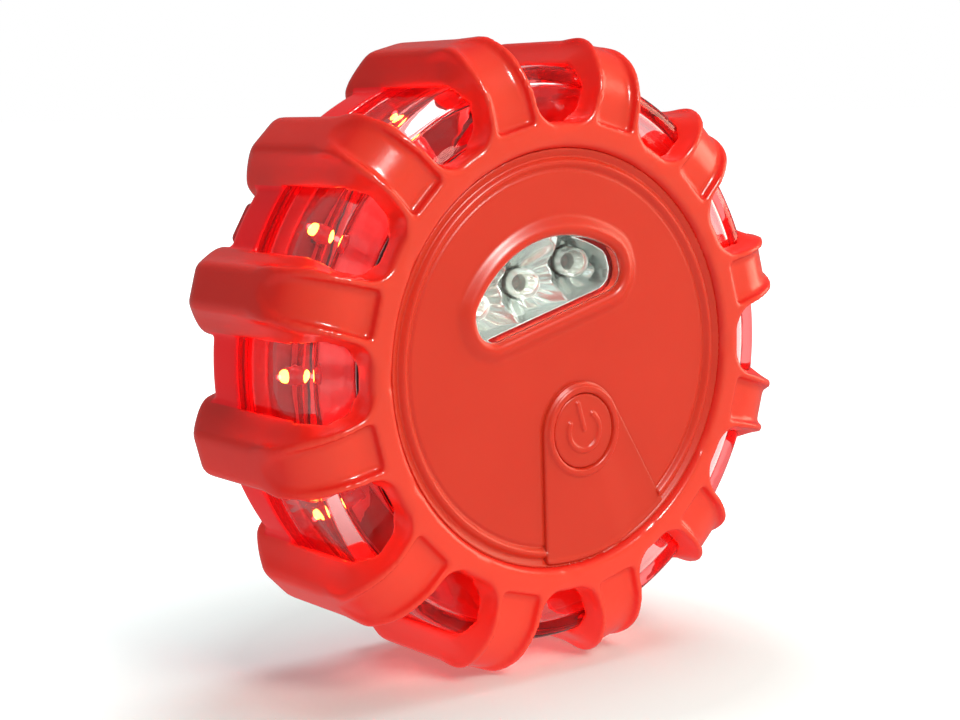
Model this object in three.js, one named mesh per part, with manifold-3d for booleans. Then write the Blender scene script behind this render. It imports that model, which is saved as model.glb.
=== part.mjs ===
// LED safety flare: a puck-shaped warning light in a toothed rubber bumper.
//
// The disc frame has its origin on the disc's axis in the plane of the front ring. +Y runs along the
// axis to the back, +Z is up and +X is to the right for someone who looks at the face. Lengths are in
// millimetres. The finished group stands on two teeth, with its origin under the middle of the disc.

import * as THREE from 'three';
import { mergeVertices } from 'three/addons/utils/BufferGeometryUtils.js';
import Module from 'manifold-3d';

const wasm = await Module();
wasm.setup();

// ---------------------------------------------------------------- driving dimensions

const DEPTH = 36.8; // front ring to the backs of the teeth
const CREST_R = 52.5; // outermost radius of the teeth
const TEETH = 12;
const FIRST_TOOTH = 15; // degrees from +X
const TOOTH_HALF_CREST = 4.2; // half the width of a tooth at its crest
const TOOTH_DRAFT = [0.055, 0.33]; // widening inwards, at the front and behind the shoulder
const POCKET_HALF = 3.3; // half the width of the hollow in a tooth's shoulder
const POCKET_DEEP = 2.1;
const POCKET_START_R = 37.9;
const POCKET_END_Y = 11;
const FRONT_BEND_Y = 10; // length of the front shoulder along the axis
const FRONT_BEND_R = 42; // radius at which the front shoulder starts
const BACK_BEND_Y = 29; // where the back shoulder starts
const BACK_BEND_R = 44.5; // radius at which the back shoulder ends

const RECESS_R = 33.7; // mouth of the recess that holds the face
const WINDOW_R = 38; // inner ends of the side windows
const FACE_Y = 1.3; // face surface below the front ring
const FACE_TURN = 16; // degrees that the face is turned about the axis
const BEAD_R = [30.6, 31.8]; // raised bead around the face
const BEAD_Y = 0.8;

const LENS_R = 47; // clear drum
const LENS_FRONT_Y = 4.5;
const LENS_BACK_Y = 24.2;
const BACK_RING_Y = [24.5, 33.4]; // rubber band behind the windows
const BACK_RING_R = [38.6, 47.2];

const TORCH_R = 20; // arched side of the torch window
const TORCH_CHORD = 7.4; // distance of its straight side from the axis
const TORCH_HALF = 15.2;
const TORCH_CORNER = 3.6;
const CUP_PITCH = 10.6;
const CUP_Z = 12.6;
const CUP_FLOOR_Y = 10.6; // floor of a bowl in the torch reflector
const TORCH_LED_R = 2.5;
const TORCH_LED_TIP_Y = 4.8;
const TORCH_LED_SEAT_Y = 12.6;

const BUTTON_Z = -12.45;
const BUTTON_R = 6.1;
const PAD_R = 8.1; // round head of the button pad
const PAD_LEAN = 15; // degrees that the pad's sides spread
const PAD_END_R = 33.3;

const BOARD_Y = [18.2, 19.8];
const BOARD_R = 40.6;
const SIDE_LED_Y = 14.2; // axis of the side diodes, which stand off the board on bent legs
const SIDE_LED_R = [39.4, 42.2, 43.7]; // seat, shoulder and tip of a side diode
const SIDE_LED_HALF = [1.2, 1.7]; // half its depth and half its width
const CASE_BACK_Y = 33.2; // rear surface of the housing
const BACK_TURN = 60; // degrees that the rear fittings are turned about the axis
const SCREW_PLACES = [[15, 25.4], [-15, 25.4], [15, -25.4], [-15, -25.4]];
const SCREW_HOLE_R = 1.6;
const SCREW_HEAD_R = 2.5;
const SCREW_WELL_R = 2.9;
const DOOR_HALF = [28, 19.3];
const DOOR_CORNER = 5;
const DOOR_Y = [32.2, 34];
const DOOR_LUG_R = 4.4;
const DOOR_SCREW_Z = -23;
const MAGNET_CUP = [11.4, 13, 36.3]; // inner radius, outer radius and rear edge of the magnet's cup

const BAY_HALF = [26, 17.6]; // battery bay, half its length and half its width
const BAY_FLOOR_Y = 21.1;
const CELL_R = 5.2;
const CELL_LENGTH = 44.5;
const CELL_PITCH = 11.2;
const CELL_Y = 26.6;

const MAGNET_R = 11.1;
const MAGNET_Y = 34.3;
const BAIL_R = [33.3, 36.8];
const BAIL_Y = [34, 36];
const TAB_END_R = 45.6;
const TAB_HALF = 3.7;
const TAB_CORNER = 1.2;
const EAR_X = 30.6;
const EAR_HALF = [1.6, 1.8];
const PIN_X = [29.6, 36.5];
const PIN_R = 0.65;

const GAP = 0.3; // clearance between neighbours
const ROUND = 48; // segments round a full circle

// ---------------------------------------------------------------- shape helpers

const rad = THREE.MathUtils.degToRad;

/** Solid from a closed geometry; its faces are turned outwards if they point in. */
function solid(geometry) {
  const bare = geometry.clone();
  bare.deleteAttribute('normal');
  bare.deleteAttribute('uv');
  const merged = mergeVertices(bare, 1e-4);
  const points = Float32Array.from(merged.attributes.position.array);
  const triangles = [];
  const index = merged.index.array;
  for (let i = 0; i < index.length; i += 3) {
    const [a, b, c] = [index[i], index[i + 1], index[i + 2]];
    if (a !== b && b !== c && c !== a) triangles.push(a, b, c);
  }
  if (volume(points, triangles) < 0) triangles.reverse();
  return new wasm.Manifold(new wasm.Mesh({
    numProp: 3,
    vertProperties: points,
    triVerts: Uint32Array.from(triangles),
  }));
}

/** Signed volume of a triangle list, times six. */
function volume(points, triangles) {
  const corner = (i) => new THREE.Vector3().fromArray(points, 3 * triangles[i]);
  let sum = 0;
  for (let i = 0; i < triangles.length; i += 3) {
    sum += corner(i).dot(corner(i + 1).cross(corner(i + 2)));
  }
  return sum;
}

/** Ring or disc about the Y axis, from [radius, y] points that start and end on the axis or close. */
function turned(profile, segments = ROUND) {
  const points = profile.map(([r, y]) => new THREE.Vector2(r, y));
  return solid(new THREE.LatheGeometry(points, segments));
}

/** Ring about the Y axis with a closed profile. */
function ring(profile, segments = ROUND) {
  return turned([...profile, profile[0]], segments);
}

/** Plain washer or tube about the Y axis. */
function tube(inner, outer, y0, y1, segments = ROUND) {
  return ring([[inner, y0], [outer, y0], [outer, y1], [inner, y1]], segments);
}

/** Round bar along Y, centred on x and z. */
function rod(radius, y0, y1, x = 0, z = 0, segments = 12) {
  return turned([[0, y0], [radius, y0], [radius, y1], [0, y1]], segments).translate([x, 0, z]);
}

/** Flat shape in X and Z, drawn as a Shape, carried along Y from y0 to y1. */
function plate(shape, y0, y1, curveSegments = 6) {
  const depth = y1 - y0;
  const geometry = new THREE.ExtrudeGeometry(shape, { depth, bevelEnabled: false, curveSegments });
  return solid(geometry.rotateX(Math.PI / 2).translate(0, y1, 0));
}

/** Round bar along X, on the left or right side, from one distance off the middle to another. */
function crossRod(side, near, far, radius, segments = 12) {
  const bar = rod(radius, near, far, 0, 0, segments).rotate([0, 0, -90]);
  return side > 0 ? bar : bar.mirror([1, 0, 0]);
}

/** Box between two corners. */
function box([x0, y0, z0], [x1, y1, z1]) {
  const geometry = new THREE.BoxGeometry(x1 - x0, y1 - y0, z1 - z0);
  return solid(geometry.translate((x0 + x1) / 2, (y0 + y1) / 2, (z0 + z1) / 2));
}

/** Rectangle with round corners, centred on (0, 0). */
function roundedRectangle(halfX, halfZ, corner) {
  const shape = new THREE.Shape();
  shape.absarc(halfX - corner, halfZ - corner, corner, 0, Math.PI / 2);
  shape.absarc(corner - halfX, halfZ - corner, corner, Math.PI / 2, Math.PI);
  shape.absarc(corner - halfX, corner - halfZ, corner, Math.PI, 1.5 * Math.PI);
  shape.absarc(halfX - corner, corner - halfZ, corner, 1.5 * Math.PI, 2 * Math.PI);
  return shape;
}

/** Points on a quarter of an ellipse, from angle 0 to 90 degrees. */
function quarter(steps, place) {
  return Array.from({ length: steps + 1 }, (_, i) => {
    const angle = (i / steps) * Math.PI / 2;
    return place(Math.cos(angle), Math.sin(angle));
  });
}

const pieces = {};

/** Named mesh with a material of its own. */
function piece(name, shape, color, roughness, metalness = 0, extra = {}) {
  const { vertProperties, triVerts } = shape.getMesh();
  const geometry = new THREE.BufferGeometry();
  geometry.setAttribute('position', new THREE.BufferAttribute(vertProperties, 3));
  geometry.setIndex(new THREE.BufferAttribute(triVerts, 1));
  geometry.computeVertexNormals();
  const material = new THREE.MeshStandardMaterial({ color, roughness, metalness, ...extra });
  const mesh = new THREE.Mesh(geometry, material);
  mesh.name = name;
  pieces[name] = mesh;
  return mesh;
}

// ---------------------------------------------------------------- rubber bumper

/** One tooth: its side profile in radius and depth, carried across its tapering width. */
function tooth() {
  const front = quarter(4, (c, s) => [
    FRONT_BEND_R + (CREST_R - FRONT_BEND_R) * s,
    FRONT_BEND_Y * (1 - c),
  ]);
  const back = quarter(4, (c, s) => [
    BACK_BEND_R + (CREST_R - BACK_BEND_R) * c,
    BACK_BEND_Y + (DEPTH - BACK_BEND_Y) * s,
  ]);
  const under = [
    [BACK_BEND_R - 2.5, DEPTH],
    [BACK_RING_R[0] + 0.6, BACK_RING_Y[1]],
    [BACK_RING_R[0] + 0.6, 31.1],
    [44.9, 31.1],
    [44.9, BACK_RING_Y[0]],
    [LENS_R + GAP, BACK_RING_Y[0]],
    [LENS_R + GAP, LENS_FRONT_Y + 2.7],
    [LENS_R - 0.4, LENS_FRONT_Y + 0.5],
    [LENS_R - 2.2, LENS_FRONT_Y - GAP],
    [WINDOW_R - 2, LENS_FRONT_Y - GAP],
    [WINDOW_R - 2, 0],
  ];
  const outline = [...front, ...back, ...under].map(([r, y]) => new THREE.Vector2(r, y));
  return across(new THREE.Shape(outline), TOOTH_HALF_CREST, TOOTH_DRAFT);
}

/** The hollow in a tooth's front shoulder, as the solid that is cut away. */
function pocket() {
  const floorR = CREST_R - POCKET_DEEP;
  const bend = quarter(4, (c, s) => [
    FRONT_BEND_R + (floorR - FRONT_BEND_R) * s,
    POCKET_DEEP + (FRONT_BEND_Y - POCKET_DEEP) * (1 - c),
  ]);
  const outline = [
    [CREST_R + 3, -1],
    [POCKET_START_R, -1],
    [POCKET_START_R + 0.3, POCKET_DEEP],
    ...bend,
    [CREST_R + 3, POCKET_END_Y + 1.5],
  ].map(([r, y]) => new THREE.Vector2(r, y));
  return across(new THREE.Shape(outline), POCKET_HALF, [0, 0]);
}

/** Shape in radius and depth, carried across the tangent and widened inwards by its draft. */
function across(shape, halfCrest, [frontDraft, sideDraft]) {
  const geometry = new THREE.ExtrudeGeometry(shape, { depth: 2, bevelEnabled: false });
  geometry.translate(0, 0, -1);
  const position = geometry.attributes.position;
  for (let i = 0; i < position.count; i += 1) {
    const behind = Math.min(Math.max(position.getY(i), 0) / 8, 1);
    const draft = THREE.MathUtils.lerp(frontDraft, sideDraft, behind);
    const widest = THREE.MathUtils.lerp(WINDOW_R, LENS_R, behind);
    const drop = CREST_R - THREE.MathUtils.clamp(position.getX(i), widest, CREST_R);
    position.setZ(i, position.getZ(i) * (halfCrest + draft * drop));
  }
  return solid(geometry);
}

function bumper() {
  const frontRing = ring([
    [RECESS_R - 0.2, 1.2],
    [RECESS_R + 0.5, 0.3],
    [RECESS_R + 1.4, 0],
    [WINDOW_R - 1, 0],
    [WINDOW_R, 0.9],
    [WINDOW_R, LENS_FRONT_Y - GAP],
    [RECESS_R - 0.2, LENS_FRONT_Y - GAP],
  ]);
  const backRing = ring([
    [BACK_RING_R[0], 31.1],
    [BACK_RING_R[0], BACK_RING_Y[1]],
    [44.6, BACK_RING_Y[1]],
    [46.5, 32.2],
    [BACK_RING_R[1], 30],
    [BACK_RING_R[1], BACK_RING_Y[0]],
    [44.9, BACK_RING_Y[0]],
    [44.9, 31.1],
  ]);
  const oneTooth = tooth();
  const onePocket = pocket();
  let body = frontRing.add(backRing);
  for (let i = 0; i < TEETH; i += 1) {
    const turn = [0, -(FIRST_TOOTH + (360 / TEETH) * i), 0];
    body = body.add(oneTooth.rotate(turn)).subtract(onePocket.rotate(turn));
  }
  return body;
}

const RED = 0xe6432b; // moulded rubber
const HOUSING_RED = 0xb8281c; // hard plastic

piece('rubber_bumper', bumper(), RED, 0.45);

// ---------------------------------------------------------------- lens and housings

piece('clear_lens', ring([
  [37.75, LENS_FRONT_Y],
  [LENS_R - 2.5, LENS_FRONT_Y],
  [LENS_R - 0.8, LENS_FRONT_Y + 0.8],
  [LENS_R, LENS_FRONT_Y + 2.8],
  [LENS_R, LENS_BACK_Y],
  [44.5, LENS_BACK_Y],
  [44.5, 30.7],
  [42.9, 30.7],
  [42.9, LENS_BACK_Y - 2],
  [44.8, LENS_BACK_Y - 3],
  [44.8, LENS_FRONT_Y + 2.3],
  [37.75, LENS_FRONT_Y + 2.3],
]), 0xf4f4f4, 0.05, 0, { transparent: true, opacity: 0.35 });

/** O-ring about the disc axis. */
function seal(radius, y, thickness) {
  const profile = Array.from({ length: 6 }, (_, i) => {
    const angle = (i / 6) * 2 * Math.PI;
    return [radius + thickness * Math.cos(angle), y + thickness * Math.sin(angle)];
  });
  return ring(profile, 36);
}

piece('front_seal', seal(36.9, 5.6, 0.55), 0x202020, 0.7);
piece('rear_seal', seal(41.95, 27, 0.6), 0x202020, 0.7);

/** D-shaped outline of the torch window, grown outwards by a margin. */
function torchOutline(margin) {
  const chord = TORCH_CHORD - margin;
  const arch = TORCH_R + margin;
  const corner = TORCH_CORNER + margin;
  const side = TORCH_HALF + margin - corner;
  const inner = arch - corner;
  const topZ = Math.sqrt(inner * inner - side * side);
  const lean = Math.atan2(topZ, side);
  const shape = new THREE.Shape();
  shape.absarc(side, chord + corner, corner, -Math.PI / 2, 0);
  shape.absarc(side, topZ, corner, 0, lean);
  shape.absarc(0, 0, arch, lean, Math.PI - lean);
  shape.absarc(-side, topZ, corner, Math.PI - lean, Math.PI);
  shape.absarc(-side, chord + corner, corner, Math.PI, 1.5 * Math.PI);
  return shape;
}

/** Keystone outline of the button pad: a round head whose sides spread towards the rim. */
function padOutline(margin) {
  const lean = rad(PAD_LEAN);
  const head = PAD_R + margin;
  const end = PAD_END_R + margin;
  const touch = [head * Math.cos(lean), BUTTON_Z + head * Math.sin(lean)];
  const along = [Math.sin(lean), -Math.cos(lean)];
  const dot = touch[0] * along[0] + touch[1] * along[1];
  const reach = -dot + Math.sqrt(dot * dot - (touch[0] ** 2 + touch[1] ** 2 - end * end));
  const rim = Math.atan2(touch[1] + along[1] * reach, touch[0] + along[0] * reach);
  const shape = new THREE.Shape();
  shape.absarc(0, BUTTON_Z, head, lean, Math.PI - lean);
  shape.absarc(0, 0, end, -Math.PI - rim, rim);
  return shape;
}

const face = turned([
  [0, FACE_Y],
  [BEAD_R[0], FACE_Y],
  [BEAD_R[0] + 0.2, BEAD_Y],
  [BEAD_R[1] - 0.2, BEAD_Y],
  [BEAD_R[1], FACE_Y],
  [RECESS_R - 0.5, FACE_Y],
  [RECESS_R - 0.5, 4.1],
  [0, 4.1],
])
  .add(plate(torchOutline(2.6), 0.4, FACE_Y + 0.2))
  .add(plate(torchOutline(3.5), 0.8, FACE_Y + 0.2))
  .subtract(plate(torchOutline(0), -1, 5))
  .subtract(plate(padOutline(GAP), -1, 5));
piece('front_cover', face, RED, 0.45);

const pane = plate(torchOutline(-GAP), 2, 3.4);
piece('torch_window', pane, 0xffffff, 0.05, 0, { transparent: true, opacity: 0.3 });

const padRim = tube(BUTTON_R + GAP, PAD_R - 0.2, 0.4, 1, 24).translate([0, 0, BUTTON_Z]);
piece('button_pad', plate(padOutline(0), BEAD_Y, 3.2, 12)
  .add(padRim)
  .subtract(rod(BUTTON_R + GAP, -1, 5, 0, BUTTON_Z, 24)), RED, 0.45);

/** Power symbol: an open ring with a bar through its gap, standing on the button. */
function powerSymbol() {
  const shape = new THREE.Shape();
  const [outer, inner] = [3.7, 2.9];
  shape.absarc(0, 0, outer, rad(140), rad(400));
  shape.absarc(0, 0, inner, rad(400), rad(140), true);
  const bar = box([-0.4, 0.35, 0.6], [0.4, 0.8, 4.9]);
  return plate(shape, 0.35, 0.8, 12).add(bar).translate([0, 0, BUTTON_Z]);
}

piece('power_button', rod(BUTTON_R, 0.6, 2.5, 0, BUTTON_Z, 24)
  .add(rod(2, 2, 13, 0, BUTTON_Z))
  .add(powerSymbol()), RED, 0.45);

piece('button_membrane', tube(2.4, 7.9, 3.5, 4.2, 24).translate([0, 0, BUTTON_Z]), 0x303030, 0.8);

// The front chassis carries the lens, the torch and four posts; its posts follow the rear fittings.
const postTurn = FACE_TURN - BACK_TURN;
let chassis = turned([[0, LENS_FRONT_Y], [36.05, LENS_FRONT_Y], [36.05, 6.4], [0, 6.4]])
  .subtract(plate(torchOutline(-0.2), 4, 7))
  .subtract(rod(2.6, 4, 7, 0, BUTTON_Z));
for (const [x, z] of SCREW_PLACES) {
  chassis = chassis
    .add(rod(3, 6, BOARD_Y[0] - GAP, x, z).rotate([0, postTurn, 0]))
    .subtract(rod(1.5, 8, 20, x, z, 12).rotate([0, postTurn, 0]));
}
piece('front_chassis', chassis, HOUSING_RED, 0.45);

// ---------------------------------------------------------------- torch

let reflector = plate(torchOutline(-0.6), 3.8, 14);
for (const side of [-1, 0, 1]) {
  const bowl = [[0, CUP_FLOOR_Y], [2.9, CUP_FLOOR_Y], [4.7, 8.2], [6.1, 5.6], [7.2, 3], [0, 3]];
  const well = [[0, CUP_FLOOR_Y - 1], [2.9, CUP_FLOOR_Y - 1], [2.9, 15], [0, 15]];
  const place = [side * CUP_PITCH, 0, CUP_Z];
  reflector = reflector.subtract(turned(bowl, 16).translate(place));
  reflector = reflector.subtract(turned(well, 16).translate(place));
}
piece('torch_reflector', reflector, 0xe8e8ec, 0.12, 1);

/** Round 5 mm light-emitting diode with its two legs. */
function torchLed() {
  const [tip, seat] = [TORCH_LED_TIP_Y, TORCH_LED_SEAT_Y];
  const dome = [[0, tip], [1.3, tip + 0.4], [TORCH_LED_R, tip + 2.5], [TORCH_LED_R, seat], [0, seat]];
  const leg = box([0.9, seat - 0.2, -0.25], [1.4, BOARD_Y[0] - GAP, 0.25]);
  return turned(dome, 12).add(leg).add(leg.translate([-2.3, 0, 0]));
}

for (const number of [1, 2, 3]) {
  const place = [(number - 2) * CUP_PITCH, 0, CUP_Z];
  piece(`torch_led_${number}`, torchLed().translate(place), 0xf6f6e8, 0.1);
}

// ---------------------------------------------------------------- electronics

piece('side_reflector', ring([
  [34, 6.8],
  [36.6, 6.8],
  [37.2, 13],
  [38.6, BOARD_Y[0] - GAP],
  [34, BOARD_Y[0] - GAP],
]), 0xc8202a, 0.25);

let board = turned([[0, BOARD_Y[0]], [BOARD_R, BOARD_Y[0]], [BOARD_R, BOARD_Y[1]], [0, BOARD_Y[1]]]);
for (const [x, z] of SCREW_PLACES) board = board.subtract(rod(SCREW_HOLE_R, 17, 21, x, z, 12));
piece('main_board', board, 0x8c2018, 0.5);

/** Red diode on two bent legs that looks outwards, in radius, depth and tangent. */
function sideLed() {
  const [seat, shoulder, tip] = SIDE_LED_R;
  const [halfDepth, halfWidth] = SIDE_LED_HALF;
  const body = box(
    [seat, SIDE_LED_Y - halfDepth, -halfWidth],
    [shoulder, SIDE_LED_Y + halfDepth, halfWidth],
  );
  const dome = turned([[0, shoulder - 0.2], [1.1, shoulder - 0.2], [0.8, tip - 0.5], [0, tip]], 8);
  const leg = box([seat, SIDE_LED_Y + 1, 0.4], [seat + 0.5, BOARD_Y[0] - GAP, 0.9]);
  return body
    .add(dome.rotate([0, 0, -90]).translate([0, SIDE_LED_Y, 0]))
    .add(leg)
    .add(leg.translate([0, 0, -1.3]));
}

for (let i = 0; i < TEETH; i += 1) {
  const name = `side_led_${String(i + 1).padStart(2, '0')}`;
  piece(name, sideLed().rotate([0, -(360 / TEETH) * i, 0]), 0xff2010, 0.2, 0, { emissive: 0xff2010 });
}

piece('tact_switch', box([-3, 14.8, BUTTON_Z - 3], [3, BOARD_Y[0] - GAP, BUTTON_Z + 3])
  .add(rod(1.6, 14.1, 15, 0, BUTTON_Z)), 0x222222, 0.5);
piece('controller_chip', box([-2.5, 16.4, -26], [2.5, BOARD_Y[0] - GAP, -22]), 0x1a1a1a, 0.4);

// ---------------------------------------------------------------- rear housing and battery bay

/** Outline of the battery door: a rounded rectangle and a round lug for its screw. */
function doorPlate(margin, y0, y1) {
  const outline = roundedRectangle(DOOR_HALF[0] + margin, DOOR_HALF[1] + margin, DOOR_CORNER);
  return plate(outline, y0, y1, 5).add(rod(DOOR_LUG_R + margin, y0, y1, 0, DOOR_SCREW_Z, 16));
}

let housing = turned([
  [0, BOARD_Y[1] + GAP],
  [0, CASE_BACK_Y],
  [38.2, CASE_BACK_Y],
  [38.2, 30.7],
  [41, 30.7],
  [41, BOARD_Y[1] + GAP],
  [39.2, BOARD_Y[1] + GAP],
  [39.2, 28.8],
  [36.4, 31],
  [28, 31],
  [28, BOARD_Y[1] + GAP],
  [0, BOARD_Y[1] + GAP],
]);
housing = housing
  .subtract(box([-BAY_HALF[0], BAY_FLOOR_Y, -BAY_HALF[1]], [BAY_HALF[0], 35, BAY_HALF[1]]))
  .subtract(doorPlate(GAP, DOOR_Y[0] - GAP, 35))
  .subtract(rod(1.5, 27, 35, 0, DOOR_SCREW_Z, 12));
for (const [x, z] of SCREW_PLACES) {
  housing = housing
    .subtract(rod(SCREW_HOLE_R, 18, 35, x, z, 12))
    .subtract(rod(SCREW_WELL_R, 31.2, 35, x, z, 12));
}
const hingeY = (BAIL_Y[0] + BAIL_Y[1]) / 2;
for (const end of [-1, 1]) {
  const [halfX, halfZ] = EAR_HALF;
  const ear = box(
    [end * EAR_X - halfX, CASE_BACK_Y - 0.5, -halfZ],
    [end * EAR_X + halfX, 36.3, halfZ],
  );
  housing = housing.add(ear).subtract(crossRod(end, 27, 34, 1.25).translate([0, hingeY, 0]));
}
piece('rear_housing', housing, HOUSING_RED, 0.45);

/** AAA cell along X with its raised end towards -X. */
function cell() {
  const start = -24.9;
  const profile = [[0, 0], [1.9, 0], [1.9, 1], [CELL_R, 1], [CELL_R, CELL_LENGTH], [0, CELL_LENGTH]];
  return turned(profile, 16).rotate([0, 0, -90]).translate([start, 0, 0]);
}

/** Conical spring along X, behind a cell's flat end. */
function coilSpring() {
  const turns = 3;
  const steps = 9 * turns;
  const points = Array.from({ length: steps + 1 }, (_, i) => {
    const share = i / steps;
    const angle = share * turns * 2 * Math.PI;
    const radius = 2.4 + 1.5 * share;
    return new THREE.Vector3(20.3 + 4.2 * share, radius * Math.cos(angle), radius * Math.sin(angle));
  });
  const wire = new THREE.Shape().absarc(0, 0, 0.3, 0, 2 * Math.PI);
  return solid(new THREE.ExtrudeGeometry(wire, {
    steps,
    bevelEnabled: false,
    curveSegments: 2,
    extrudePath: new THREE.CatmullRomCurve3(points),
  }));
}

for (const number of [1, 2, 3]) {
  const place = [0, CELL_Y, (number - 2) * CELL_PITCH];
  const turn = [0, number === 2 ? 180 : 0, 0];
  piece(`battery_cell_${number}`, cell().rotate(turn).translate(place), 0x3a3f45, 0.3, 0.8);
  piece(`battery_spring_${number}`, coilSpring().rotate(turn).translate(place), 0xc8c8cc, 0.25, 1);
}

/** Contact plate on an end wall of the bay, across the cells from one z to another. */
function contactPlate(end, z0, z1) {
  const [near, far] = [25.1, 25.6].map((x) => end * x);
  return box([Math.min(near, far), 22.5, z0], [Math.max(near, far), 30.5, z1]);
}

const halfPlate = 4.6;
const outerCell = CELL_PITCH - halfPlate;
const bridgeEnd = CELL_PITCH + halfPlate;
piece('contact_positive', contactPlate(-1, -bridgeEnd, -outerCell), 0xc8c8cc, 0.3, 1);
piece('contact_bridge_left', contactPlate(-1, -halfPlate, bridgeEnd), 0xc8c8cc, 0.3, 1);
piece('contact_bridge_right', contactPlate(1, -bridgeEnd, halfPlate), 0xc8c8cc, 0.3, 1);
piece('contact_negative', contactPlate(1, outerCell, bridgeEnd), 0xc8c8cc, 0.3, 1);

const [cupInner, cupOuter, cupBackY] = MAGNET_CUP;
piece('battery_door', doorPlate(0, ...DOOR_Y)
  .add(tube(cupInner, cupOuter, DOOR_Y[1] - 0.5, cupBackY, 36))
  .subtract(rod(SCREW_HOLE_R, 30, 36, 0, DOOR_SCREW_Z, 12))
  .subtract(rod(SCREW_WELL_R, 32.9, 36, 0, DOOR_SCREW_Z, 12)), HOUSING_RED, 0.45);

piece('magnet', turned([
  [0, MAGNET_Y],
  [MAGNET_R, MAGNET_Y],
  [MAGNET_R, DEPTH - 0.3],
  [MAGNET_R - 0.3, DEPTH],
  [0, DEPTH],
], 36), 0x9a9ca0, 0.3, 1);

/** Pan-head screw with a cross recess, its head at y and its shank towards the front. */
function screw(headY, length) {
  const seatY = headY - 1.3;
  const shank = [[0, headY - length], [1.2, headY - length], [1.2, seatY], [SCREW_HEAD_R, seatY]];
  const head = turned([...shank, [SCREW_HEAD_R, headY - 0.5], [1.9, headY], [0, headY]], 12);
  const slot = box([-1.5, headY - 0.8, -0.3], [1.5, headY + 1, 0.3]);
  return head.subtract(slot).subtract(slot.rotate([0, 90, 0]));
}

piece('door_screw', screw(34.5, 5.5).translate([0, 0, DOOR_SCREW_Z]), 0xb0b2b6, 0.3, 1);
SCREW_PLACES.forEach(([x, z], i) => {
  piece(`housing_screw_${i + 1}`, screw(32.9, 22).translate([x, 0, z]), 0xb0b2b6, 0.3, 1);
});

// ---------------------------------------------------------------- hanging bail

/** Half ring with a round eye at each end and a thumb tab in the middle. */
function bail() {
  const [inner, outer] = BAIL_R;
  const shape = new THREE.Shape();
  const tab = Math.asin(TAB_HALF / outer);
  shape.moveTo(outer, 0);
  shape.absarc(0, 0, outer, 0, Math.PI / 2 - tab);
  shape.absarc(TAB_HALF - TAB_CORNER, TAB_END_R - TAB_CORNER, TAB_CORNER, 0, Math.PI / 2);
  shape.absarc(TAB_CORNER - TAB_HALF, TAB_END_R - TAB_CORNER, TAB_CORNER, Math.PI / 2, Math.PI);
  shape.absarc(0, 0, outer, Math.PI / 2 + tab, Math.PI);
  shape.absarc(0, 0, inner, Math.PI, 0, true);
  let loop = plate(shape, ...BAIL_Y, 14);
  for (const end of [-1, 1]) {
    const eye = crossRod(end, inner, outer, 1.5);
    const bore = crossRod(end, inner - 1, outer + 1, 0.95, 8);
    loop = loop.add(eye.translate([0, hingeY, 0])).subtract(bore.translate([0, hingeY, 0]));
  }
  return loop;
}

piece('hanging_bail', bail(), 0xd83a2a, 0.35);
for (const [name, end] of [['bail_pin_left', -1], ['bail_pin_right', 1]]) {
  piece(name, crossRod(end, ...PIN_X, PIN_R).translate([0, hingeY, 0]), 0xb0b2b6, 0.3, 1);
}

// ---------------------------------------------------------------- assembly

const faceNames = ['front_cover', 'torch_window', 'button_pad', 'power_button', 'button_membrane',
  'front_chassis', 'torch_reflector', 'torch_led_1', 'torch_led_2', 'torch_led_3', 'tact_switch',
  'controller_chip'];
const ringNames = Object.keys(pieces).filter((name) => /bumper|lens|seal|side_/.test(name));

const faceGroup = new THREE.Group();
faceGroup.rotation.y = -rad(FACE_TURN);
const backGroup = new THREE.Group();
backGroup.rotation.y = -rad(BACK_TURN);
const ringGroup = new THREE.Group();
for (const [name, mesh] of Object.entries(pieces)) {
  if (faceNames.includes(name)) faceGroup.add(mesh);
  else if (ringNames.includes(name)) ringGroup.add(mesh);
  else backGroup.add(mesh);
}

// The disc stands on the inner corners of the two lowest teeth.
const halfPitch = rad(180 / TEETH);
const standHeight = CREST_R * Math.cos(halfPitch) + TOOTH_HALF_CREST * Math.sin(halfPitch);

const flare = new THREE.Group();
flare.add(ringGroup, faceGroup, backGroup);
flare.position.set(0, -DEPTH / 2, standHeight);

export default flare;
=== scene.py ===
"""LED safety flare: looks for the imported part, in metres, in the frame of the CAD."""

import math

import bmesh
import bpy
import numpy as np
import openvdb as vdb
from mathutils import Matrix, Vector

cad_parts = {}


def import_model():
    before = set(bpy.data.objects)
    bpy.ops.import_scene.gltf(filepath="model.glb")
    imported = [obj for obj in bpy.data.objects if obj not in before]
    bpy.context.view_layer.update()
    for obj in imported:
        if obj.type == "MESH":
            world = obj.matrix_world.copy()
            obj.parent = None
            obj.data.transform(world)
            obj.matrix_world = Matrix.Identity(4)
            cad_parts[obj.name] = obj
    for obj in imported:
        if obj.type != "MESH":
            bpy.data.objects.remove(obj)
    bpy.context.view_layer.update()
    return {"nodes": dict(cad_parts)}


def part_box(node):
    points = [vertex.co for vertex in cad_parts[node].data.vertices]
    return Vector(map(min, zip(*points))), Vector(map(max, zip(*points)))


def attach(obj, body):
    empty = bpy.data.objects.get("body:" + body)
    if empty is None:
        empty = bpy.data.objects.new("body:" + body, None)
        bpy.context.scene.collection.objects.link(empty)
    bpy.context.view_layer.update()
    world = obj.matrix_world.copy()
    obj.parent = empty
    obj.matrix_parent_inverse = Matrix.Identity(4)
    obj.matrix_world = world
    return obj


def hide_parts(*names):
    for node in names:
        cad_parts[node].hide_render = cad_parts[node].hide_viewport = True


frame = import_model()

# ---------------------------------------------------------------- places read from the frame

MM = 0.001
BUMPER_LO, BUMPER_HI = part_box("rubber_bumper")
LENS_LO, LENS_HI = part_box("clear_lens")
AXIS = Vector((0, BUMPER_LO.y, (LENS_LO.z + LENS_HI.z) / 2))  # where the disc's axis meets the front plane

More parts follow.
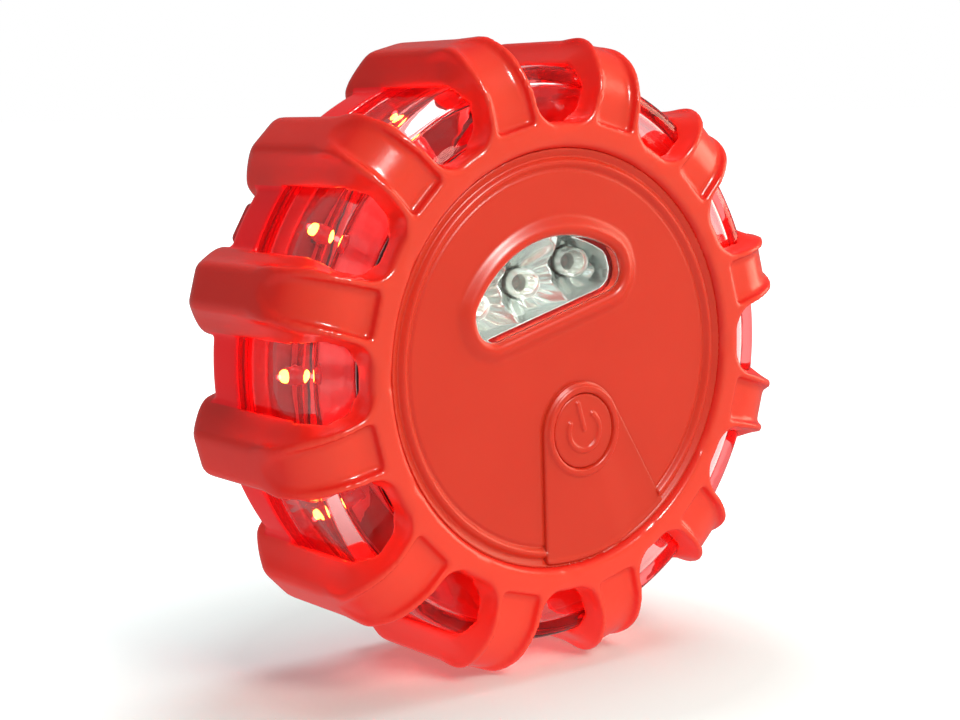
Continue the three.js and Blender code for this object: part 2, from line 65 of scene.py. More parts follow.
# ---------------------------------------------------------------- driving dimensions
# In the disc frame and in millimetres: x to the right, d back from the front plane along the axis, z up
# from the axis. A name ends in _R for a radius, _D for a depth, _X or _Z for a place across the disc.

DEPTH = (BUMPER_HI.y - BUMPER_LO.y) / MM
TEETH = 12
PITCH = 360 / TEETH
FIRST_TOOTH = 15  # degrees
CREST_R = 52.5
RECESS_R = 33.7
LENS_R = 47
LENS_FOOT_R = 37.8
LENS_FRONT_D = 4.5
LENS_BACK_D = 24.2
BUTTON_Z = -12.45
BUTTON_R = 6.1
FACE_TURN = 16  # degrees that the face, torch and button are turned about the axis
BACK_TURN = 60  # degrees that the rear housing and its fittings are turned
GAP = 0.3  # between neighbouring pieces


# ---------------------------------------------------------------- mesh helpers


def place(points, turn=0):
    """Disc-frame points in millimetres, turned about the axis by degrees, as row-frame metres."""
    a = math.radians(turn)
    p = np.asarray(points, float)
    x = p[:, 0] * math.cos(a) - p[:, 2] * math.sin(a)
    z = p[:, 0] * math.sin(a) + p[:, 2] * math.cos(a)
    return np.stack([x * MM + AXIS.x, p[:, 1] * MM + AXIS.y, z * MM + AXIS.z], -1)


def weld(mesh):
    """Join points that lie together, such as those of a turned profile on its axis."""
    shape = bmesh.new()
    shape.from_mesh(mesh)
    bmesh.ops.remove_doubles(shape, verts=shape.verts, dist=1e-7)
    shape.to_mesh(mesh)
    shape.free()


def piece(name, points, faces, material, body, turn=0, smooth=True):
    """Mesh object from disc-frame points and faces, riding on a body."""
    mesh = bpy.data.meshes.new(name)
    mesh.from_pydata(place(points, turn).tolist(), [], faces)
    weld(mesh)
    if smooth:
        mesh.shade_smooth()
    mesh.materials.append(material)
    made = bpy.data.objects.new(name, mesh)
    bpy.context.scene.collection.objects.link(made)
    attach(made, body)
    return made


def carve(field, lo, hi, step):
    """Points and faces of the surface where field(x, d, z) is zero; it is negative inside."""
    axes = [np.arange(a - s, b + 2 * s, s, dtype=np.float32) for a, b, s in zip(lo, hi, step)]
    values = field(*np.meshgrid(*axes, indexing="ij", sparse=True))
    limit = 4 * max(step)
    values = np.broadcast_to(values, [len(a) for a in axes])
    grid = vdb.FloatGrid(background=limit)
    grid.copyFromArray(np.ascontiguousarray(np.clip(values, -limit, limit), dtype=np.float32))
    points, triangles, quads = grid.convertToPolygons(isovalue=0.0, adaptivity=0.0)
    points = points * np.array(step) + np.array([a[0] for a in axes])
    faces = [tuple(f) for f in triangles.tolist()] + [tuple(f) for f in quads.tolist()]
    a, b, c = (points[[f[i] for f in faces]] for i in range(3))
    if np.einsum("ij,ij->", a, np.cross(b, c)) < 0:
        faces = [f[::-1] for f in faces]
    return points, faces


def thin_out(made, share):
    """Collapse a dense mesh to a share of its triangles."""
    thinner = made.modifiers.new("thinner", "DECIMATE")
    thinner.ratio = share
    bpy.context.view_layer.objects.active = made
    bpy.ops.object.modifier_apply(modifier=thinner.name)


def revolve(profile, segments):
    """Points and faces of a closed profile of (radius, depth) turned about the axis."""
    steps = np.radians(np.linspace(0, 360, segments, endpoint=False))
    r = np.array([p[0] for p in profile])
    d = np.array([p[1] for p in profile])
    x = np.outer(np.cos(steps), r).ravel()
    z = np.outer(np.sin(steps), r).ravel()
    points = np.stack([x, np.tile(d, segments), z], -1)
    n = len(profile)
    faces = []
    for i in range(segments):
        j = (i + 1) % segments
        for k in range(n):
            m = (k + 1) % n
            faces.append((i * n + k, i * n + m, j * n + m, j * n + k))
    return points, faces


def joined(*shapes):
    """Points and faces of several shapes as one."""
    faces = []
    first = 0
    for points, own_faces in shapes:
        faces += [tuple(first + i for i in face) for face in own_faces]
        first += len(points)
    return np.concatenate([points for points, own_faces in shapes]), faces


# ---------------------------------------------------------------- field helpers


def low(a, b, k):
    """Smooth minimum: joins two fields with a fillet about k wide."""
    h = np.maximum(k - np.abs(a - b), 0) / k
    return np.minimum(a, b) - h * h * k / 4


def high(a, b, k):
    """Smooth maximum: intersects two fields with an edge rounded over about k."""
    return -low(-a, -b, k)


def ramp(x, a, b):
    """Smooth step from 0 at a to 1 at b."""
    t = np.clip((x - a) / (b - a), 0, 1)
    return t * t * (3 - 2 * t)


def bell(x, centre, half):
    """Rounded bump of height 1 that ends at half a width either side."""
    t = np.clip(np.abs(x - centre) / half, 0, 1)
    return (1 - t * t) ** 2


def superellipse(a, b, power):
    """1 on a quarter of a superellipse with half axes of 1, in the corner where a and b are positive."""
    a = np.maximum(a, 0)
    b = np.maximum(b, 0)
    return (a**power + b**power) ** (1 / power)


def box_distance(x, z, half_x, half_z, corner):
    """Distance from a rectangle with round corners, negative inside it."""
    a = np.abs(x) - half_x + corner
    b = np.abs(z) - half_z + corner
    return np.hypot(np.maximum(a, 0), np.maximum(b, 0)) + np.minimum(np.maximum(a, b), 0) - corner


# ---------------------------------------------------------------- node helpers


def shader(name, color, roughness, **values):
    """Principled material with constant sockets; returns the material, its nodes, links and shader node."""
    material = bpy.data.materials.new(name)
    material.use_nodes = True
    nodes, links = material.node_tree.nodes, material.node_tree.links
    bsdf = nodes["Principled BSDF"]
    bsdf.inputs["Base Color"].default_value = (*color, 1)
    bsdf.inputs["Roughness"].default_value = roughness
    for key, value in values.items():
        bsdf.inputs[key.replace("_", " ")].default_value = value
    return material, nodes, links, bsdf


def noise(nodes, links, scale, detail):
    """Noise texture in the object's own coordinates, in features per metre."""
    at = nodes.new("ShaderNodeTexCoord")
    texture = nodes.new("ShaderNodeTexNoise")
    texture.inputs["Scale"].default_value = scale
    texture.inputs["Detail"].default_value = detail
    links.new(at.outputs["Object"], texture.inputs["Vector"])
    return texture.outputs["Fac"]


def graded(nodes, links, value, first, last, start=0.0, end=1.0):
    """A number that runs from first to last while a value runs from start to end."""
    grade = nodes.new("ShaderNodeMapRange")
    grade.inputs["From Min"].default_value = start
    grade.inputs["From Max"].default_value = end
    grade.inputs["To Min"].default_value = first
    grade.inputs["To Max"].default_value = last
    links.new(value, grade.inputs["Value"])
    return grade.outputs["Result"]


def coordinate(nodes, links, kind, axis):
    """One axis of a texture coordinate, such as Object or Normal."""
    at = nodes.new("ShaderNodeTexCoord")
    apart = nodes.new("ShaderNodeSeparateXYZ")
    links.new(at.outputs[kind], apart.inputs["Vector"])
    return apart.outputs[axis]


def mix_surfaces(nodes, links, share, one, two, surface):
    """Feed a surface socket with a mix of two shaders."""
    mix = nodes.new("ShaderNodeMixShader")
    links.new(share, mix.inputs["Fac"])
    links.new(one, mix.inputs[1])
    links.new(two, mix.inputs[2])
    links.new(mix.outputs[0], surface)


def bump(nodes, links, bsdf, scale, depth, detail=2.0):
    """Fine moulded grain: noise at a scale, raised by a depth in metres."""
    relief = nodes.new("ShaderNodeBump")
    relief.inputs["Distance"].default_value = depth
    links.new(noise(nodes, links, scale, detail), relief.inputs["Height"])
    links.new(relief.outputs["Normal"], bsdf.inputs["Normal"])


def mottle(nodes, links, bsdf, one, two, scale):
    """Colour that drifts between two close tones."""
    tones = nodes.new("ShaderNodeValToRGB")
    tones.color_ramp.elements[0].position = 0.3
    tones.color_ramp.elements[1].position = 0.7
    tones.color_ramp.elements[0].color = (*one, 1)
    tones.color_ramp.elements[1].color = (*two, 1)
    links.new(noise(nodes, links, scale, 3.0), tones.inputs["Fac"])
    links.new(tones.outputs["Color"], bsdf.inputs["Base Color"])


def rough(nodes, links, bsdf, least, most, scale):
    """Roughness that varies between two values."""
    spread = graded(nodes, links, noise(nodes, links, scale, 4.0), least, most)
    links.new(spread, bsdf.inputs["Roughness"])


# ---------------------------------------------------------------- rubber

# LEAK also colours the painted glow on the band behind the windows and on the reflector cone
LEAK = (1.0, 0.012, 0.02)  # colour of the diodes' light where it leaks through red plastic


def rubber(name, one, two, gloss, grain):
    """Glossy translucent rubber that drifts between two tones, with a grain in metres."""
    material, nodes, links, bsdf = shader(name, one, gloss, IOR=1.45, Specular_IOR_Level=0.45)
    bsdf.inputs["Subsurface Weight"].default_value = 0.3
    bsdf.inputs["Subsurface Scale"].default_value = 0.004
    bsdf.inputs["Subsurface Radius"].default_value = (1.0, 0.12, 0.06)
    mottle(nodes, links, bsdf, one, two, 60)
    rough(nodes, links, bsdf, gloss - 0.02, gloss + 0.03, 900)
    bump(nodes, links, bsdf, 5200, grain, 3.0)
    return material


def painted_glow_along(material, axis, start, end, first, last):
    """Let a painted glow change from one strength to another between two places along an axis."""
    nodes, links = material.node_tree.nodes, material.node_tree.links
    along = coordinate(nodes, links, "Object", axis)
    strength = graded(nodes, links, along, first, last, start, end)
    links.new(strength, nodes["Principled BSDF"].inputs["Emission Strength"])


def painted_front_sheen(material, color):
    """Mix in another colour where the surface faces the front: a painted sheen."""
    nodes, links = material.node_tree.nodes, material.node_tree.links
    base = nodes["Principled BSDF"].inputs["Base Color"]
    facing = graded(nodes, links, coordinate(nodes, links, "Normal", "Y"), 0.0, 1.0, -0.45, -0.95)
    mix = nodes.new("ShaderNodeMixRGB")
    mix.inputs["Color2"].default_value = (*color, 1)
    links.new(facing, mix.inputs["Fac"])
    links.new(base.links[0].from_socket, mix.inputs["Color1"])
    links.new(mix.outputs["Color"], base)


def bumper_rubber():
    """Bumper rubber with a painted sheen that makes its front-facing surfaces paler, and a painted glow near
    the floor that stands in for light from the floor.
    """
    material = rubber("bumper_tpu", (0.81, 0.026, 0.015), (0.77, 0.023, 0.014), 0.2, 0.000014)
    bsdf = material.node_tree.nodes["Principled BSDF"]
    # painted glow: light thrown up from the floor, strongest at the bottom of the bumper and gone 5 cm above
    # the floor
    bsdf.inputs["Emission Color"].default_value = (1.0, 0.03, 0.02, 1)
    painted_glow_along(material, "Z", 0.0, 0.05, 0.22, 0.0)
    # painted sheen: a paler orange on the surfaces that face the front
    painted_front_sheen(material, (0.86, 0.07, 0.036))
    return material


def lit_band():
    """Bumper rubber over the rear of the lens, darker, with a painted red glow that stands in for the diodes'
    light leaking through it.
    """
    material = rubber("lit_bumper_tpu", (0.6, 0.012, 0.012), (0.55, 0.01, 0.01), 0.16, 0.000004)
    bsdf = material.node_tree.nodes["Principled BSDF"]
    bsdf.inputs["Specular IOR Level"].default_value = 0.25
    # painted glow of the diodes' red light
    bsdf.inputs["Emission Color"].default_value = (*LEAK, 1)
    bsdf.inputs["Emission Strength"].default_value = 0.3
    return material


RUBBER = bumper_rubber()
FACE = rubber("face_tpu", (0.76, 0.046, 0.018), (0.73, 0.042, 0.016), 0.32, 0.000008)
LIT_BAND = lit_band()

# ---------------------------------------------------------------- clear plastic


def clear_plastic(name, tint, ior):
    """Moulded clear plastic that lets lamps shine through it."""
    material, nodes, links, bsdf = shader(name, tint, 0.03, Transmission_Weight=1.0, IOR=ior)
    bump(nodes, links, bsdf, 260, 0.00005, 1.0)
    through = nodes.new("ShaderNodeBsdfTransparent")
    through.inputs["Color"].default_value = (*tint, 1)
    shadow = nodes.new("ShaderNodeLightPath").outputs["Is Shadow Ray"]
    surface = nodes["Material Output"].inputs["Surface"]
    mix_surfaces(nodes, links, shadow, bsdf.outputs[0], through.outputs[0], surface)
    return material


def lens_plastic():
    """Clear plastic that turns red where light runs a long way inside it."""
    material = clear_plastic("clear_polycarbonate", (1.0, 0.92, 0.92), 1.42)
    nodes, links = material.node_tree.nodes, material.node_tree.links
    absorb = nodes.new("ShaderNodeVolumeAbsorption")
    absorb.inputs["Color"].default_value = (1.0, 0.2, 0.2, 1)
    absorb.inputs["Density"].default_value = 150
    links.new(absorb.outputs[0], nodes["Material Output"].inputs["Volume"])
    return material


CLEAR = lens_plastic()
WINDOW = clear_plastic("clear_window", (0.97, 1.0, 0.99), 1.15)

# ---------------------------------------------------------------- metals and solid plastics


def plated_chrome():
    """Bright plating on a moulded bowl."""
    material, nodes, links, bsdf = shader("vacuum_plated_chrome", (0.93, 0.95, 0.94), 0.08, Metallic=0.8)
    mottle(nodes, links, bsdf, (0.68, 0.71, 0.70), (0.58, 0.62, 0.60), 150)
    rough(nodes, links, bsdf, 0.13, 0.2, 700)
    bump(nodes, links, bsdf, 500, 0.000004)
    return material


def plain(name, one, two, least, most, **values):
    """Moulded plastic or metal with a drifting tone, uneven gloss and a fine grain."""
    material, nodes, links, bsdf = shader(name, one, least, **values)
    mottle(nodes, links, bsdf, one, two, 300)
    rough(nodes, links, bsdf, least, most, 900)
    bump(nodes, links, bsdf, 3600, 0.00001)
    return material


def glowing(name, color, strength, base, roughness=0.1, coat=0.5):
    """Glossy plastic that gives off light of a colour."""
    material, nodes, links, bsdf = shader(name, base, roughness, Coat_Weight=coat)
    bsdf.inputs["Emission Color"].default_value = (*color, 1)
    bsdf.inputs["Emission Strength"].default_value = strength
    mottle(nodes, links, bsdf, base, tuple(c * 0.9 for c in base), 900)
    return material


CHROME = plated_chrome()
RED_ABS = plain("housing_abs", (0.62, 0.02, 0.015), (0.55, 0.015, 0.012), 0.3, 0.42)
CLEAR_RED = plain("bail_plastic", (0.9, 0.04, 0.04), (0.82, 0.03, 0.03), 0.1, 0.16, Transmission_Weight=0.5)
STEEL = plain("screw_steel", (0.6, 0.6, 0.62), (0.5, 0.5, 0.52), 0.25, 0.4, Metallic=1.0)
NICKEL = plain("magnet_nickel", (0.62, 0.61, 0.58), (0.55, 0.54, 0.52), 0.2, 0.35, Metallic=1.0)
BLACK = plain("black_rubber", (0.02, 0.02, 0.02), (0.03, 0.03, 0.03), 0.5, 0.7)
# the board's dark red stands in for the diodes' red light falling on it: painted light
BOARD = plain("board_painted_red_light", (0.30, 0.012, 0.01), (0.25, 0.01, 0.01), 0.3, 0.4)
SLEEVE = plain("cell_sleeve", (0.05, 0.06, 0.07), (0.07, 0.08, 0.09), 0.25, 0.35, Metallic=0.5)
RED_LED = glowing("red_led_lit_tip", (1.0, 0.3, 0.03), 45.0, (0.9, 0.1, 0.05))
DIM_LED = glowing("red_led_dim_tip", (1.0, 0.1, 0.02), 2.5, (0.9, 0.1, 0.05))
RED_EPOXY = glowing("red_led_epoxy", LEAK, 0.28, (0.35, 0.01, 0.012))
# the reflector's red colour and glow are painted light from the diodes, a little stronger on the left
LIT_RED = glowing("lit_red_reflector", LEAK, 0.3, (0.7, 0.12, 0.12), 0.3, 0.3)
painted_glow_along(LIT_RED, "X", -0.03, -0.005, 0.24, 0.2)
WHITE_LED = plain(
    "white_led_epoxy", (0.97, 0.98, 0.94), (0.93, 0.96, 0.88), 0.02, 0.06, Transmission_Weight=0.88, IOR=1.3
)

# ---------------------------------------------------------------- rubber bumper

SHOULDER_D, SHOULDER_R, SHOULDER_POWER = 10, 42, 1.8  # where a tooth's round front shoulder ends
HEEL_D, HEEL_R, HEEL_POWER, HEEL_LONG = 29, 44.5, 2.2, 7.8  # where its round back shoulder starts
TOOTH_HALF = 4.25  # half the width of a crest
CREST_ROUND, HEEL_ROUND, HEEL_ROUND_D = 0.6, 1.6, (9, 15)  # rounding in front, and what is added behind
DRAFT = 0.045  # how fast a flank leans out
FLARE, FLARE_D, FLARE_DROP = 2.6, (1.0, 9.0), (1.0, 6.5)  # a flank flares backwards and downwards
FLANK_FOOT_R = 36  # the flanks lean and flare as far down as this
TOOTH_FOOT_R = 36.5  # the teeth end here, inside the ring
RING_R, RING_ROUND, RING_FILLET = 38, 1.6, 3.2
LIP_ROUND = 2.4
TOOTH_BORE_R = 39.4  # the teeth are open inside this radius, behind the lens's front wall
BEVEL, SLOPE = 3.0, 0.7071  # of the teeth over the lens's front corner, at 45 degrees
BAND_R, BAND_INNER_R, BAND_FRONT_D, BAND_BACK_D = 47.2, 38.8, 24.5, 33.4
BAND_ROUND = 2.6
HOOK_R, HOOK_FRONT_D, HOOK_BACK_D = 44.9, 24.0, 31.1  # room for the lens's skirt
LIT_FRONT_D, LIT_BACK_D = 24.0, 33.0  # the stretch of the band that red light leaks through
RIB = 1.05  # thickness of the ribs beside the hollow in a tooth
POCKET_DEEP, POCKET_SHALLOW = 1.5, 0.6  # depth of the hollow at its front and at its rear
POCKET_FALL_D = (8, 0.5)  # depths between which the hollow gets deeper
POCKET_START_R = 38.1
POCKET_END_D = 11.4
POCKET_NOSE = 7.2  # length of the hollow's elliptical rear end
BUMPER_STEP = 0.45


def shoulder(u, d):
    """Front of a tooth: round over the shoulder, level along the crest."""
    rise = (u - SHOULDER_R) / (CREST_R - SHOULDER_R)
    return (superellipse((SHOULDER_D - d) / SHOULDER_D, rise, SHOULDER_POWER) - 1) * SHOULDER_D


def below_crest(u):
    """Distance down from the crest, as far as the flanks reach."""
    return CREST_R - np.clip(u, FLANK_FOOT_R, CREST_R)


def tooth_field(u, t, d):
    """One tooth before it is hollowed; u is the height above the axis and t the distance from its middle."""
    heel = superellipse((d - HEEL_D) / HEEL_LONG, (u - HEEL_R) / (CREST_R - HEEL_R), HEEL_POWER)
    outer = high(shoulder(u, d), (heel - 1) * HEEL_LONG, 0.4)
    drop = below_crest(u)
    flare = ramp(d, *FLARE_D) * FLARE * ramp(drop, *FLARE_DROP)
    flank = t - TOOTH_HALF - DRAFT * drop - flare
    return high(outer, flank, CREST_ROUND + HEEL_ROUND * ramp(d, *HEEL_ROUND_D))


def pocket_field(u, t, d):
    """The hollow in a tooth's shoulder."""
    floor = -(shoulder(u, d) + POCKET_SHALLOW + (POCKET_DEEP - POCKET_SHALLOW) * ramp(d, *POCKET_FALL_D))
    half = TOOTH_HALF + DRAFT * below_crest(u) - RIB
    beyond = np.maximum(d - POCKET_END_D + POCKET_NOSE, 0) / POCKET_NOSE
    side = (np.sqrt((t / half) ** 2 + beyond**2) - 1) * half
    pocket = high(side, POCKET_START_R - u, 1.0)
    return high(pocket, floor, 1.2)


def drum_field(r, d):
    """Room for the lens drum inside the teeth, with a bevelled front corner."""
    drum = np.maximum(r - (LENS_R + GAP), (LENS_FRONT_D - GAP) - d)
    drum = high(drum, SLOPE * (r - LENS_R - GAP + BEVEL - d + LENS_FRONT_D - GAP), 0.6)
    return np.maximum(drum, d - BAND_FRONT_D)


def bumper_field(x, d, z):
    """Field of the whole moulded bumper."""
    r = np.sqrt(x * x + z * z)
    turn = np.degrees(np.arctan2(z, x)) - FIRST_TOOTH
    turn = np.radians(turn - PITCH * np.round(turn / PITCH))
    u = r * np.cos(turn)
    t = np.abs(r * np.sin(turn))
    front_d = LENS_FRONT_D - GAP

    # teeth, open inside for the lens
    hook = np.maximum(r - HOOK_R, np.maximum(HOOK_FRONT_D - d, d - HOOK_BACK_D))
    tooth = high(tooth_field(u, t, d), -drum_field(r, d), 0.5)
    tooth = np.maximum(tooth, -hook)
    tooth = np.maximum(tooth, -np.maximum(r - TOOTH_BORE_R, front_d - d))
    tooth = np.maximum(tooth, TOOTH_FOOT_R - r)

    # front ring with a soft lip round the face
    ring = high(high(-d, RECESS_R - r, LIP_ROUND), r - RING_R, RING_ROUND)
    ring = high(ring, d - front_d, 0.5)
    body = low(tooth, ring, RING_FILLET)
    body = np.maximum(body, RECESS_R - 0.2 - r)
    body = np.maximum(body, -d)

    # rubber band behind the windows
    band = high(r - BAND_R, d - BAND_BACK_D, BAND_ROUND)
    band = np.maximum(band, BAND_FRONT_D - d)
    band = np.maximum(band, BAND_INNER_R - r)
    band = np.maximum(band, -hook)
    body = low(body, band, 0.5)
    body = np.maximum(body, -hook)
    return high(body, -pocket_field(u, t, d), 0.35)


def build_bumper():
    """The bumper in one piece, with the lit material on its band."""
    half = CREST_R + 0.6
    points, faces = carve(bumper_field, (-half, -0.6, -half), (half, DEPTH + 0.3, half), [BUMPER_STEP] * 3)
    made = piece("bumper", points, faces, RUBBER, "body")
    thin_out(made, 0.5)
    made.data.materials.append(LIT_BAND)
    for face in made.data.polygons:
        r = math.hypot(face.center.x - AXIS.x, face.center.z - AXIS.z) / MM
        d = (face.center.y - AXIS.y) / MM
        face.material_index = int(r < BAND_R + 0.5 and LIT_FRONT_D < d < LIT_BACK_D)
    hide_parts("rubber_bumper")


# ---------------------------------------------------------------- face

FACE_D, FACE_BACK_D = 1.3, 4.1
BEAD_R, BEAD_HALF, BEAD_HIGH = 31.6, 0.85, 0.6  # the bead round the face
GROOVES_R, GROOVE_HALF, GROOVE_DEEP = (30.55, 32.6), 0.35, 0.3  # the grooves beside the bead
RIM_FOOT, RIM_TOP, RIM_HIGH = 3.6, 1.1, 1.15  # the rim round the torch window
EDGE_R, EDGE_HIGH = 33.0, 0.35  # where the face's edge starts to rise
TORCH_HALF, TORCH_CHORD, TORCH_ARCH = 11.6, 11.0, 16.4  # the window's outline inside its round corners
TORCH_CORNER = 3.6
PAD_D, PAD_BACK_D, PAD_R, PAD_END_R = 0.85, 3.2, 8.1, 33.3
PAD_LEAN = 15  # degrees between a side of the pad and its middle line
PAD_SINK, PAD_SINK_X = 0.4, (1, 7)  # the pad runs down to the level of the face on its right
PAD_EDGE_HIGH, PAD_EDGE_R = 0.25, (32.2, 33.0)  # its lower end rises like the face's edge
COLLAR_D, COLLAR_R, COLLAR_INNER_R = PAD_D - 0.4, 7.7, 7.3  # the raised collar round the button
KEY_D, KEY_BACK_D, KEY_DISH = 0.75, 2.5, 0.1
MARK_R, MARK_HIGH = 3.2, 0.3  # the power symbol's arc
MARK_OPENING = 50  # degrees from the top to an end of the arc
MARK_BAR = (0.4, 4.7)  # lowest and highest point of its bar


def torch_distance(x, z):
    """Distance from the outline of the torch window, negative inside it."""
    x = np.abs(x)
    top = math.sqrt(TORCH_ARCH * TORCH_ARCH - TORCH_HALF * TORCH_HALF)
    corner_low = np.hypot(np.maximum(x - TORCH_HALF, 0), np.maximum(TORCH_CHORD - z, 0))
    corner_high = np.hypot(x - TORCH_HALF, z - top)
    r = np.sqrt(x * x + z * z)
    beyond = np.where((z > top) & (x * top > TORCH_HALF * z), corner_high, r - TORCH_ARCH)
    outside = np.where(z < TORCH_CHORD, corner_low, np.where(z < top, x - TORCH_HALF, beyond))
    inside = np.maximum(np.maximum(r - TORCH_ARCH, TORCH_CHORD - z), x - TORCH_HALF)
    return np.where(inside < 0, inside, np.maximum(outside, 0)) - TORCH_CORNER


def pad_distance(x, z):
    """Distance from the outline of the button pad, negative inside it."""
    x = np.abs(x)
    lean = math.radians(PAD_LEAN)
    below = z - BUTTON_Z
    along = x * math.sin(lean) - below * math.cos(lean)
    side = x * math.cos(lean) + below * math.sin(lean) - PAD_R
    head = np.hypot(x, below) - PAD_R
    return high(np.where(along > 0, side, head), np.sqrt(x * x + z * z) - PAD_END_R, 0.6)


def face_field(x, d, z):
    """Face plate with a bead round it, a rim round the torch window and room for the button pad."""
    r = np.sqrt(x * x + z * z)
    torch = torch_distance(x, z)
    pad = pad_distance(x, z)
    surface = FACE_D - BEAD_HIGH * bell(r, BEAD_R, BEAD_HALF)
    for groove in GROOVES_R:
        surface = surface + GROOVE_DEEP * bell(r, groove, GROOVE_HALF)
    surface = surface - RIM_HIGH * ramp(torch, RIM_FOOT, RIM_TOP) - EDGE_HIGH * ramp(r, EDGE_R, RECESS_R)
    surface = surface + GROOVE_DEEP * bell(pad, 0.1, GROOVE_HALF) * ramp(x, 4, -2)
    plate = high(surface - d, r - RECESS_R - 0.15, 0.1)
    plate = np.maximum(plate, d - FACE_BACK_D)
    plate = high(plate, -torch, 1.5)
    return np.maximum(plate, -0.5 - pad)


def button_pad_field(x, d, z):
    """Keystone pad with a round head, a collar round the button and a bush behind it."""
    r = np.sqrt(x * x + z * z)
    from_button = np.hypot(x, z - BUTTON_Z)
    flush = PAD_D + PAD_SINK * ramp(x, *PAD_SINK_X)
    collar = (COLLAR_D - flush) * ramp(from_button, COLLAR_R, COLLAR_INNER_R)
    surface = flush + collar - PAD_EDGE_HIGH * ramp(r, *PAD_EDGE_R)
    pad = high(surface - d, pad_distance(x, z), 0.35)
    pad = high(pad, BUTTON_R + 0.2 - from_button, 0.35)
    bush = np.maximum(np.abs(from_button - BUTTON_R - 0.3) - 0.25, 1.0 - d)
    return np.maximum(np.minimum(pad, bush), d - PAD_BACK_D)


def button_field(x, d, z):
    """Round button with a raised power symbol."""
    lift = z - BUTTON_Z
    r = np.hypot(x, lift)
    angle = np.degrees(np.arctan2(np.abs(x), lift))
    end = math.radians(MARK_OPENING)
    end_x, end_z = MARK_R * math.sin(end), MARK_R * math.cos(end)
    arc = np.where(angle > MARK_OPENING, np.abs(r - MARK_R), np.hypot(np.abs(x) - end_x, lift - end_z))
    bar = np.hypot(x, lift - np.clip(lift, *MARK_BAR))
    surface = KEY_D - MARK_HIGH * ramp(np.minimum(arc, bar), 0.55, 0.3) - KEY_DISH * ramp(r, 5.0, 0.0)
    disc = high(surface - d, r - BUTTON_R, 0.4)
    return np.maximum(disc, d - KEY_BACK_D)


def build_face():
    """Face plate, button pad and button."""
    points, faces = carve(face_field, (-33.8, 0, -33.8), (33.8, 4.4, 33.8), (0.3, 0.2, 0.3))
    cover = piece("face_cover", points, faces, FACE, "body", FACE_TURN)
    thin_out(cover, 0.6)
    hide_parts("front_cover")
    points, faces = carve(button_pad_field, (-15, 0, -33.8), (15, 3.5, -3), (0.25, 0.15, 0.25))
    pad = piece("keystone_pad", points, faces, FACE, "body", FACE_TURN)
    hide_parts("button_pad")
    points, faces = carve(button_field, (-6.5, 0, -19), (6.5, 2.8, -6), (0.2, 0.12, 0.2))
    button = piece("power_key", points, faces, FACE, "button", FACE_TURN)
    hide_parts("power_button")


# ---------------------------------------------------------------- lens

LENS_CORNER, LENS_FRONT_THICK = 2.8, 1.8
LENS_WALL_R, LENS_RIBS, LENS_RIB_HIGH = 44.9, 4, 0.3
SKIRT_R, SKIRT_INNER_R, SKIRT_END_D = 44.5, 42.9, 30.7  # the skirt that holds the bumper's band
PRISMS, PRISM_PITCH = 5, 1.2
PRISM_HIGH_R, PRISM_HIGH = 43.8, 1.7  # first crest of the prisms, and the wall's thickness there
PRISM_LOW_R, PRISM_LOW = 43.2, 2.0


def lens_profile():
    """Closed section of the drum: smooth outside, ribs inside its wall and prisms inside its front."""
    front, back, corner = LENS_FRONT_D, LENS_BACK_D, LENS_CORNER
    outer = [(LENS_FOOT_R, front)]
    outer += [
        (LENS_R - corner + corner * math.sin(a), front + corner - corner * math.cos(a))
        for a in np.radians(np.linspace(0, 90, 9))
    ]
    outer += [(LENS_R, back), (SKIRT_R, back), (SKIRT_R, SKIRT_END_D), (SKIRT_INNER_R, SKIRT_END_D)]
    inner = [(SKIRT_INNER_R, back - 1.6), (44.6, back - 2.6)]
    start, end = back - 3.2, front + 3.2
    for i in range(LENS_RIBS):
        for share, drop in ((0.0, 0.0), (0.5, LENS_RIB_HIGH)):
            inner.append((LENS_WALL_R - drop, start + (end - start) * (i + share) / LENS_RIBS))
    inner.append((44.2, front + 2.4))
    for i in range(PRISMS):
        inner.append((PRISM_HIGH_R - PRISM_PITCH * i, front + PRISM_HIGH))
        inner.append((PRISM_LOW_R - PRISM_PITCH * i, front + PRISM_LOW))
    inner.append((LENS_FOOT_R, front + LENS_FRONT_THICK))
    return outer + inner


def build_lens():
    """Clear drum behind the side windows."""
    points, faces = revolve(lens_profile(), 180)
    made = piece("lens_drum", points, faces, CLEAR, "body")
    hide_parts("clear_lens")


# ---------------------------------------------------------------- side lamps

LED_D = (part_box("side_led_01")[0].y - AXIS.y) / MM + 1.2  # the diodes' middles lie behind their fronts
BOARD_D = (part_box("main_board")[0].y - AXIS.y) / MM
LED_SEAT_R = 39.4  # where a diode's back lies
LED_FLANGE, LED_HALF, LED_STRAIGHT, LED_DOME = 1.75, 1.45, 2.5, 1.5
LED_TIP, LED_TIP_LIGHT = 3.6, 4.5  # heights above its seat where a diode's lit tip and its light start
LEG_HALF, LEG_APART = 0.22, 0.65  # half a leg's width, and its distance from the middle
LIT_LAMPS = (5, 6, 7, 8)  # the flash runs round the disc; these are on


def dome(radius, base, rise):
    """Points of (radius, depth) over a dome, from just above its base to its top."""
    return [(radius * math.cos(a), base + rise * math.sin(a)) for a in np.radians(range(15, 91, 15))]


def legs(places, start, end):
    """Square wires along the axis, from (x, z) places, as points and faces."""
    corners = ((-1, -1), (1, -1), (1, 1), (-1, 1))
    sides = [(j, (j + 1) % 4, (j + 1) % 4 + 4, j + 4) for j in range(4)]
    points, faces = [], []
    for x, z in places:
        first = len(points)
        points += [(x + a * LEG_HALF, d, z + b * LEG_HALF) for d in (start, end) for a, b in corners]
        faces += [tuple(first + i for i in face) for face in sides + [(3, 2, 1, 0), (4, 5, 6, 7)]]
    return np.array(points), faces


